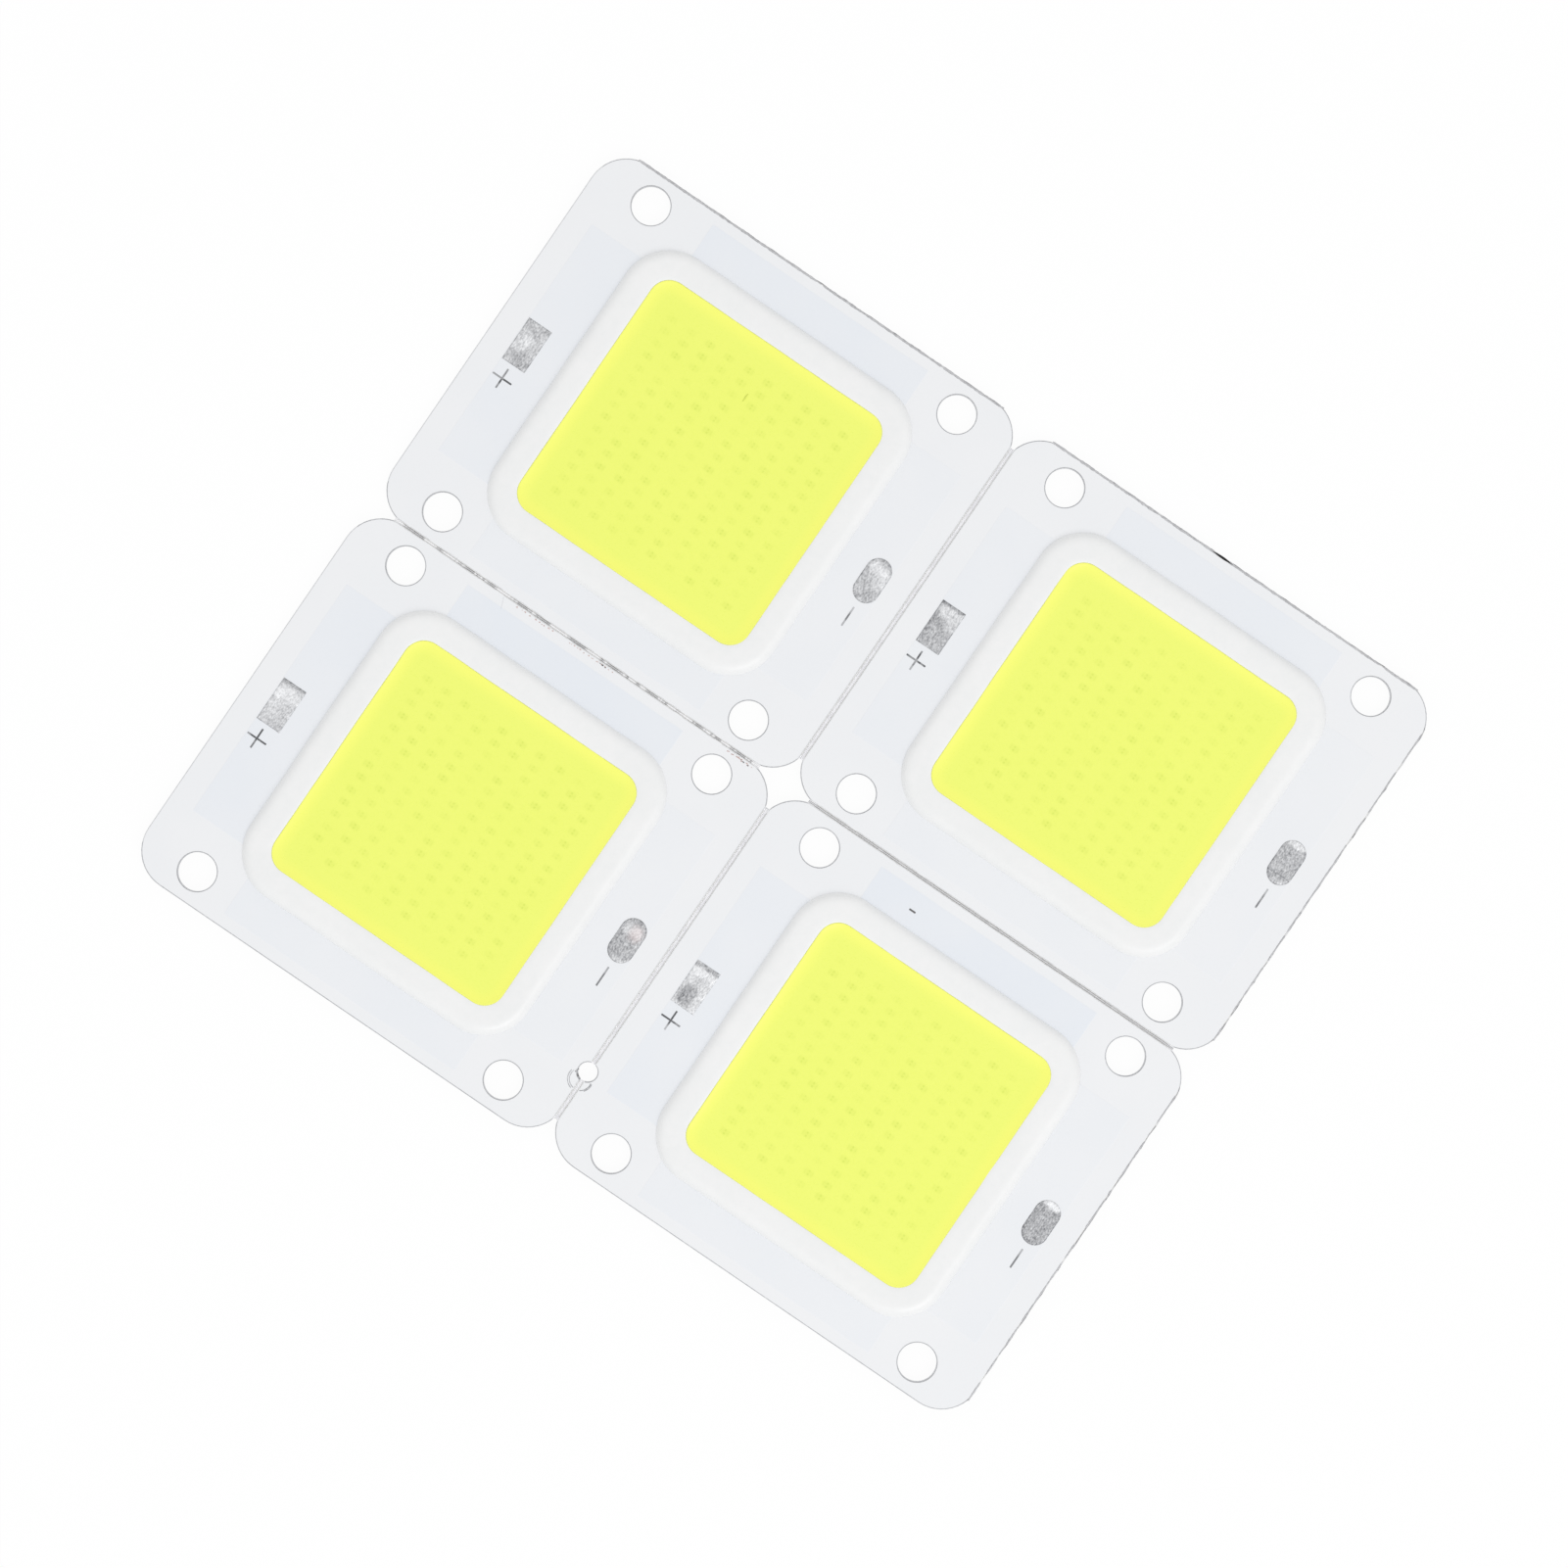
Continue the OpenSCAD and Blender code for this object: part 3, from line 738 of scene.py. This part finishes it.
# solder levelled on the pad: a lumpy top inside rounded edges
def layTin(shape, kind, number, middle, half, foot):
    radius = half.x - 0.001 if kind == "minus" else 0.06
    lump = padLook["lump"]
    rings = []
    for inset, level in ((0, foot - maskTop),) + padLook["dome"]:
        ring = []
        for point in roundedLoop(half.x - inset, half.y - inset, max(0.02, radius - inset), 8, 14):
            rise = maskTop + level
            if inset > 0.05:
                rise += lump * lumps(point, 1.6, number) + 0.5 * lump * lumps(point, 4.0, number + 3)
            ring.append((middle.x + point.x, middle.y + point.y, rise))
        rings.append(ring)
    cappedSolid(shape, rings)


for kind in ("plus", "minus"):
    for number in moduleNumbers:
        node = "%s_pad_%d" % (kind, number)
        low, high = cadBox(node)
        middle, half = (low + high) / 2, (high - low) / 2
        pad = meshPiece(
            "%sPad%d" % (kind, number), lambda shape: layTin(shape, kind, number, middle, half, low.z),
            tinFinish(kind, number, middle, half))
        finishPiece(pad, [node])
print("pads tinned")


# polarity marks; lengths in millimetres

markLook = {
    "length": 2.07, "width": 0.17, "rise": 0.018, "sunk": 0.004, "edge": 0.03, "corner": 0.05, "gap": 0.002,
    "wornTone": (214, 215, 218),
    # place, tone, darker tone, wear, from where to where a mark fades, and how far it does on each module
    "plus": ((-19.37, -3.8), (98, 99, 102), (80, 81, 84), 0.45, (-0.2, -0.7), (0.0, 0.6, 0.2, 0.7)),
    "minus": ((19.17, -3.98), (140, 141, 144), (122, 123, 126), 0.55, (0.1, 0.7), (0.7, 0.65, 0.4, 0.55)),
}


def inkFinish(kind):
    at, tone, darker, wear, (fadeFrom, fadeTo), fades = markLook[kind]
    material, surface, place = newMaterial(kind + "Ink", Roughness=0.55)
    color, grains = grainColor(place, tone, darker, 7.0, 1.2)
    _, y, _ = splitVector(place["Local"])
    fade = 0.0
    for index, amount in enumerate(fades):
        fade = calc("MULTIPLY_ADD", calc("COMPARE", place["Number"], float(index), 0.1), amount, fade)
    fade = fade * rangeMask(y, at[1] + fadeFrom, at[1] + fadeTo)
    worn = larger(rangeMask(grains["Coarse"], 0.5, 0.68) * wear, fade)
    feed(surface["Base Color"], mixColor(worn, color, shade(markLook["wornTone"])))
    addBump(surface, grains["Fine"], 0.4, 0.01)
    return material


def printBar(shape, centre, halfX, halfY):
    look = markLook
    rings = []
    for inset, level in ((0, -look["sunk"]), (0, 0.6 * look["rise"]), (look["edge"], look["rise"])):
        loop = roundedLoop(halfX - inset, halfY - inset, max(0.01, look["corner"] - inset), 3, 2)
        rings.append([(centre.x + p.x, centre.y + p.y, maskTop + level) for p in loop])
    cappedSolid(shape, rings)


def printMark(shape, kind, number):
    centre = moduleCentre(number) + Vector((*markLook[kind][0], 0))
    length, width = markLook["length"] / 2, markLook["width"] / 2
    printBar(shape, centre, width, length)
    # the arms of a plus stop short of its upright, so that nothing overlaps
    arm = (length - width) / 2
    for side in (-1, 1) if kind == "plus" else ():
        printBar(shape, centre + Vector((side * (width + arm), 0, 0)), arm - markLook["gap"], width)


inks = {kind: inkFinish(kind) for kind in ("plus", "minus")}
for number in moduleNumbers:
    for kind, ink in inks.items():
        mark = meshPiece(
            "%sMark%d" % (kind, number), lambda shape: printMark(shape, kind, number), ink, smooth=False)
        finishPiece(mark)
print("polarity marks printed")


# bruised lips along the cuts and the snapped edges; lengths in millimetres

lipLook = {
    "height": 0.022, "step": 0.12, "tip": 2.72, "edgeInset": 0.155, "rowInset": 0.19, "columnInset": 0.245,
    # widths, gaps and wander of each bead, and the seed of its noise
    "topEdgeLip": {"Width": 0.24, "Gap": 0.36, "Wander": 0.02, "Seed": 3.0},
    "rightEdgeLip": {"Width": 0.1584, "Gap": 0.42, "Wander": 0.02, "Seed": 5.0},
    "rowLips": {"Width": 0.08, "Gap": 0.4, "Wander": 0.02, "Seed": 7.0},
    "columnLips": {"Width": 0.07, "Gap": 0.05, "Fray": 0.1, "Wander": 0.004, "Seed": 9.0},
    "lacquerScratch": {"Width": 0.07, "Gap": 0.0, "Height": 0.006, "Wander": 0.02, "Seed": 4.0},
    "drillCurl": {"Width": 0.09, "Gap": 0.2, "Wander": 0.015, "Seed": 1.0},
    "drillBurr": {"Width": 0.09, "Gap": 0.1, "Wander": 0.01, "Seed": 2.0},
    "crossHalf": 0.22, "holeGap": (-30.95, -33.1),  # the column lips stop round the locating hole
    "scratchPoints": ((-30.95, -0.32), (-30.8, -0.65), (-30.55, -1.3)),
    "burntAt": 21.6, "burntLength": 2.3, "burntWidth": 0.26, "burntInset": 0.16, "burntRise": 0.03,
    "burntSteps": 12,
    # arcs beside the locating hole: middle, radius, and from and to which angle
    "arcs": {
        "drillCurl": (((-0.2, -32.94), 1.0, 158, 262), ((-0.2, -32.94), 1.17, 165, 255),
                      ((0, -32), 1.05, 200, 262)),
        "drillBurr": (((-0.2, -32.94), 1.05, 300, 371), ((-0.2, -32.94), 1.16, 320, 368)),
    },
    "metals": {
        "tornEdge": ((206, 206, 208), (160, 160, 163)), "cutLip": ((232, 233, 235), (206, 207, 209)),
        "columnLip": ((222, 223, 225), (208, 209, 211)), "scorchedEdge": ((34, 32, 33), (20, 18, 19)),
        "scratchedLacquer": ((226, 227, 230), (214, 215, 219)),
        "drillCurl": ((198, 199, 202), (160, 161, 164)), "drillBurr": ((166, 167, 170), (120, 121, 124)),
    },
}


# a flattened bead that follows its paths, frays in width and thins out to nothing in the gaps
def buildLipTree(name, material):
    tree, given, result = newTree(
        "GeometryNodeTree", name,
        [("Paths", "Geometry", None), ("Width", "Float", 0.2 * mm),
         ("Height", "Float", lipLook["height"] * mm), ("Step", "Float", lipLook["step"] * mm),
         ("Wander", "Float", 0.02 * mm), ("Gap", "Float", 0.3), ("Fray", "Float", 0.45),
         ("Patch Scale", "Float", 0.5), ("Seed", "Float", 0.0)],
        [("Geometry", "Geometry")],
    )
    line = addNode(tree, "GeometryNodeMeshToCurve", {0: given["Paths"]})
    line = addNode(tree, "GeometryNodeResampleCurve", {"Curve": line, "Length": given["Step"]}, mode="LENGTH")
    position = addNode(tree, "GeometryNodeInputPosition")
    place = position * perMm + joinVector(0.0, 0.0, given["Seed"])
    patches = noiseMask(place, given["Patch Scale"], 2.0, 0.6)
    keep = rangeMask(patches, given["Gap"] - 0.03, given["Gap"] + 0.05)
    fray = rangeMask(noiseMask(place, 2.4, 3.0, 0.7), 0.3, 0.7, 1.0 - given["Fray"], 1.2, smooth=False)
    reach = given["Wander"] * 3.0
    drift = driftNoise(place, 0.9) * joinVector(reach, reach, 0.0)
    x, y, _ = splitVector(position)
    section = joinVector(x * (given["Width"] * 0.5), y * given["Height"])
    bead = sweep(line, drift, 8, section, **{"Scale": larger(keep * fray, 0.02), "Fill Caps": True})
    endTree(result, bead, material)
    return tree


def bruisedMetal(name, roughness=0.4):
    return layerFinish(name, *lipLook["metals"][name], 0.6, roughness, 4.0, 0.6)


def onMask(*points):
    return [(x, y, maskTop) for x, y in points]


# straight runs between the rounded corners, along an edge or a score line
def runsAlongX(y):
    tip = lipLook["tip"]
    return [onMask((sheetLow.x + tip, y), (-tip, y)), onMask((tip, y), (sheetHigh.x - tip, y))]


def runsAlongY(x):
    tip = lipLook["tip"]
    return [onMask((x, sheetLow.y + tip), (x, -tip)), onMask((x, tip), (x, sheetHigh.y - tip))]


def arcPath(centre, radius, fromAngle, toAngle, steps=40):
    angles = [math.radians(fromAngle + (toAngle - fromAngle) * i / steps) for i in range(steps + 1)]
    return onMask(*((centre[0] + radius * math.cos(a), centre[1] + radius * math.sin(a)) for a in angles))


def growLips(name, metal, paths):
    lengths = ("Width", "Height", "Wander", "Step")
    values = {key: value * mm if key in lengths else value for key, value in lipLook[name].items()}
    finishPiece(growPiece(name, buildLipTree(name, metal), values, paths))


edgeMetal = bruisedMetal("tornEdge")
growLips("topEdgeLip", edgeMetal, runsAlongX(sheetHigh.y - lipLook["edgeInset"]))
growLips("rightEdgeLip", edgeMetal, runsAlongY(sheetHigh.x - lipLook["edgeInset"]))
rowRuns = runsAlongX(lipLook["rowInset"]) + runsAlongX(-lipLook["rowInset"])
growLips("rowLips", bruisedMetal("cutLip"), rowRuns)
tip, (gapTop, gapBottom) = lipLook["tip"], lipLook["holeGap"]
columnRuns = [onMask((-lipLook["crossHalf"], -tip), (lipLook["crossHalf"], -tip))]
for side in (-lipLook["columnInset"], lipLook["columnInset"]):
    for start, end in ((tip, sheetHigh.y - tip), (-tip, gapTop), (gapBottom, sheetLow.y + tip)):
        columnRuns.append(onMask((side, start), (side, end)))
growLips("columnLips", bruisedMetal("columnLip"), columnRuns)
growLips("lacquerScratch", bruisedMetal("scratchedLacquer"), [onMask(*lipLook["scratchPoints"])])


# one spot of the snapped top edge is scorched
def scorchSpot(shape):
    look = lipLook
    rings = []
    steps, y = look["burntSteps"], sheetHigh.y - look["burntInset"]
    for i in range(steps + 1):
        x = look["burntAt"] + look["burntLength"] * (i / steps - 0.5)
        width = look["burntWidth"] / 2 * math.sin(math.pi * (i + 0.35) / (steps + 0.7))
        rings.append([(x, y + width * math.cos(a) * (1.0 if math.cos(a) > 0 else 0.8),
                       maskTop + look["burntRise"] * max(-0.4, math.sin(a)))
                      for a in [math.tau * k / 10 for k in range(10)]])
    cappedSolid(shape, rings)


finishPiece(meshPiece("scorchedSpot", scorchSpot, bruisedMetal("scorchedEdge", 0.6)))

# the drill's first touch left a curl of lacquer beside the small hole
for name, arcs in lipLook["arcs"].items():
    growLips(name, bruisedMetal(name), [arcPath(*arc) for arc in arcs])
print("lips and curls grown")


# crumbs, a speck of ink and a fibre; lengths in millimetres

crumbLook = {
    "rustyCrumb": ((226, 200, 195), (184, 150, 143), 0.0, 0.6, 9.0),
    "darkCrumb": ((120, 118, 118), (84, 82, 82), 0.4, 0.5, 9.0),
    "fibre": ((228, 236, 104), (212, 222, 88), 0.0, 0.5, 6.0),
    # finish, count, size, spread, seed and the lines along which the crumbs lie
    "rowCrumbs": ("rustyCrumb", 15, 0.16, 0.05, 4,
                  (((-29.5, -0.37), (-25.5, -0.37)), ((-23.5, -0.37), (-19.0, -0.37)))),
    "cornerCrumbs": ("rustyCrumb", 12, 0.2, 0.08, 9, (((-6.0, -0.36), (-3.4, -0.42)),)),
    "darkRowCrumbs": ("darkCrumb", 3, 0.2, 0.03, 12,
                      (((-20.3, -0.34), (-19.6, -0.42)), ((-4.6, -0.4), (-3.6, -0.5)))),
    "drillCrumbs": ("darkCrumb", 7, 0.16, 0.03, 6, ()), "drillArc": ((0, -32), 0.99, 196, 250, 8),
    "crumbLift": 0.005, "speckAt": (-6.69, 17.0), "speckHalf": (0.34, 0.085),
    "fibreAt": (0.1, 7.3), "fibreWidth": 0.08, "fibreLift": 0.01,
    "fibrePoints": ((0.02, 0.42), (0.0, 0.3), (-0.02, 0.12), (0.01, -0.06), (0.0, -0.22), (-0.03, -0.4)),
}


# flattened grains scattered along a path
def buildCrumbTree(name, material):
    tree, given, result = newTree(
        "GeometryNodeTree", name,
        [("Paths", "Geometry", None), ("Count", "Int", 20), ("Size", "Float", 0.1 * mm),
         ("Spread", "Float", 0.1 * mm), ("Seed", "Int", 0)],
        [("Geometry", "Geometry")],
    )
    line = addNode(tree, "GeometryNodeMeshToCurve", {0: given["Paths"]})
    points = addNode(tree, "GeometryNodeCurveToPoints", {"Curve": line, "Count": given["Count"]}, "Points",
                     mode="COUNT")
    shift = addNode(tree, "FunctionNodeRandomValue", data_type="FLOAT_VECTOR", inputs={
        0: (-4, -1, 0), 1: (4, 1, 0), "Seed": given["Seed"]})
    shift = shift * joinVector(given["Spread"], given["Spread"], 0.0)
    points = addNode(tree, "GeometryNodeSetPosition", {"Geometry": points, "Offset": shift})
    crumb = addNode(tree, "GeometryNodeMeshIcoSphere", {"Radius": 0.5, "Subdivisions": 2})
    rough = addNode(tree, "ShaderNodeTexNoise", {"Scale": 2.2, "Detail": 1.0}, "Color")
    rough = (rough - (0.5, 0.5, 0.5)) * (0.7, 0.7, 0.4)
    crumb = addNode(tree, "GeometryNodeSetPosition", {"Geometry": crumb, "Offset": rough})
    size = addNode(tree, "FunctionNodeRandomValue", data_type="FLOAT_VECTOR", inputs={
        0: (0.4, 0.3, 0.2), 1: (1.2, 0.8, 0.35), "Seed": given["Seed"] + 1.0})
    size = size * joinVector(given["Size"], given["Size"], given["Size"])
    crumbs = addNode(tree, "GeometryNodeInstanceOnPoints", {
        "Points": points, "Instance": crumb, "Scale": size})
    endTree(result, crumbs, material)
    return tree


crumbFinishes = {name: layerFinish(name, *crumbLook[name]) for name in ("rustyCrumb", "darkCrumb", "fibre")}
for name in ("rowCrumbs", "cornerCrumbs", "darkRowCrumbs", "drillCrumbs"):
    finish, count, size, spread, seed, lines = crumbLook[name]
    paths = [[(x, y, maskTop + crumbLook["crumbLift"]) for x, y in line] for line in lines]
    paths = paths or [arcPath(*crumbLook["drillArc"])]  # the last ones lie round the locating hole
    values = {"Count": count, "Size": size * mm, "Spread": spread * mm, "Seed": seed}
    tree = buildCrumbTree(name, crumbFinishes[finish])
    finishPiece(growPiece(name, tree, values, paths))


# a stray speck of ink on the last module
def printSpeck(shape):
    printBar(shape, moduleCentre(4) + Vector((*crumbLook["speckAt"], 0)), *crumbLook["speckHalf"])


finishPiece(meshPiece("straySpeck", printSpeck, crumbFinishes["darkCrumb"], smooth=False))


# a fibre caught in the gel of the first module
def layFibre(shape):
    look = crumbLook
    first = moduleCentre(1) + Vector((*look["fibreAt"], maskTop + gelLook["level"] + look["fibreLift"]))
    rings = []
    for i, (x, y) in enumerate(look["fibrePoints"]):
        along = (i + 0.3) / (len(look["fibrePoints"]) - 0.4)
        width = look["fibreWidth"] * (0.25 + 0.75 * math.sin(math.pi * along))
        rings.append([(first.x + x + width * math.cos(a), first.y + y, first.z + 0.5 * width * math.sin(a))
                      for a in [math.tau * k / 8 for k in range(8)]])
    cappedSolid(shape, rings)


finishPiece(meshPiece("gelFibre", layFibre, crumbFinishes["fibre"]))
print("crumbs and fibre placed")


# floor, light and camera; metres and degrees

studioLook = {
    "worldLevel": 0.83, "lampPower": 2.3, "lampSize": 0.6,
    "lampAway": 1.0, "lampTilt": 42.0, "lampAzimuth": -33.5,
    "floorTone": 0.95, "floorShadow": 0.05, "floorHalf": 1.5, "floorLevel": -0.02 * mm,
    "turn": 34.27, "lens": 200.0, "sensor": 36.0, "frameWidth": 0.144, "clip": (0.05, 10.0),
}


def seenDirectly(tree):
    path = signalsOf(tree, tree.nodes.new("ShaderNodeLightPath"))
    return larger(larger(path["Is Camera Ray"], path["Is Glossy Ray"]), path["Is Transmission Ray"])


def paintWorld():
    scene.world = bpy.data.worlds.new("studio")
    tree = clearTree(scene.world)
    white = (1, 1, 1, 1)
    light = addNode(tree, "ShaderNodeBackground", {"Color": white, "Strength": studioLook["worldLevel"]})
    shown = addNode(tree, "ShaderNodeBackground", {"Color": white, "Strength": 1.0})
    mix = addNode(tree, "ShaderNodeMixShader", {0: seenDirectly(tree), 1: light, 2: shown})
    feed(tree.nodes.new("ShaderNodeOutputWorld").inputs[0], mix)


def floorFinish():
    material = bpy.data.materials.new("floorWhite")
    tree = clearTree(material)
    paint = addNode(tree, "ShaderNodeBsdfDiffuse", {"Color": (studioLook["floorTone"],) * 3 + (1,)})
    glow = addNode(tree, "ShaderNodeEmission", {"Color": (1, 1, 1, 1), "Strength": 1.0})
    share = seenDirectly(tree) * (1 - studioLook["floorShadow"])
    feed(tree.nodes.new("ShaderNodeOutputMaterial").inputs[0],
         addNode(tree, "ShaderNodeMixShader", {0: share, 1: paint, 2: glow}))
    return material


def layFloor():
    mesh = bpy.data.meshes.new("floor")
    half, level = studioLook["floorHalf"], studioLook["floorLevel"]
    corners = [(x * half, y * half, level) for x, y in ((-1, -1), (1, -1), (1, 1), (-1, 1))]
    mesh.from_pydata(corners, [], [(0, 1, 2, 3)])
    mesh.materials.append(floorFinish())
    floor = bpy.data.objects.new("floor", mesh)
    scene.collection.objects.link(floor)


def hangLamp():
    look = studioLook
    data = bpy.data.lights.new("softBoxLamp", "AREA")
    data.shape = "SQUARE"
    data.size = look["lampSize"]
    data.energy = look["lampPower"]
    tilt, azimuth = math.radians(look["lampTilt"]), math.radians(look["lampAzimuth"])
    toLamp = Vector((math.sin(tilt) * math.cos(azimuth), math.sin(tilt) * math.sin(azimuth), math.cos(tilt)))
    lamp = bpy.data.objects.new("softBoxLamp", data)
    lamp.location = toLamp * look["lampAway"]
    lamp.rotation_euler = toLamp.to_track_quat("Z", "Y").to_euler()
    scene.collection.objects.link(lamp)


def placeCamera():
    look = studioLook
    data = bpy.data.cameras.new("camera")
    data.lens, data.sensor_width = look["lens"], look["sensor"]
    data.clip_start, data.clip_end = look["clip"]
    camera = bpy.data.objects.new("camera", data)
    camera.location = (0, 0, look["frameWidth"] * look["lens"] / look["sensor"] + maskTop * mm)
    camera.rotation_euler = (0, 0, math.radians(look["turn"]))
    scene.collection.objects.link(camera)
    scene.camera = camera


paintWorld()
layFloor()
hangLamp()
placeCamera()
scene.view_settings.view_transform = "Standard"
print("floor, light and camera set")
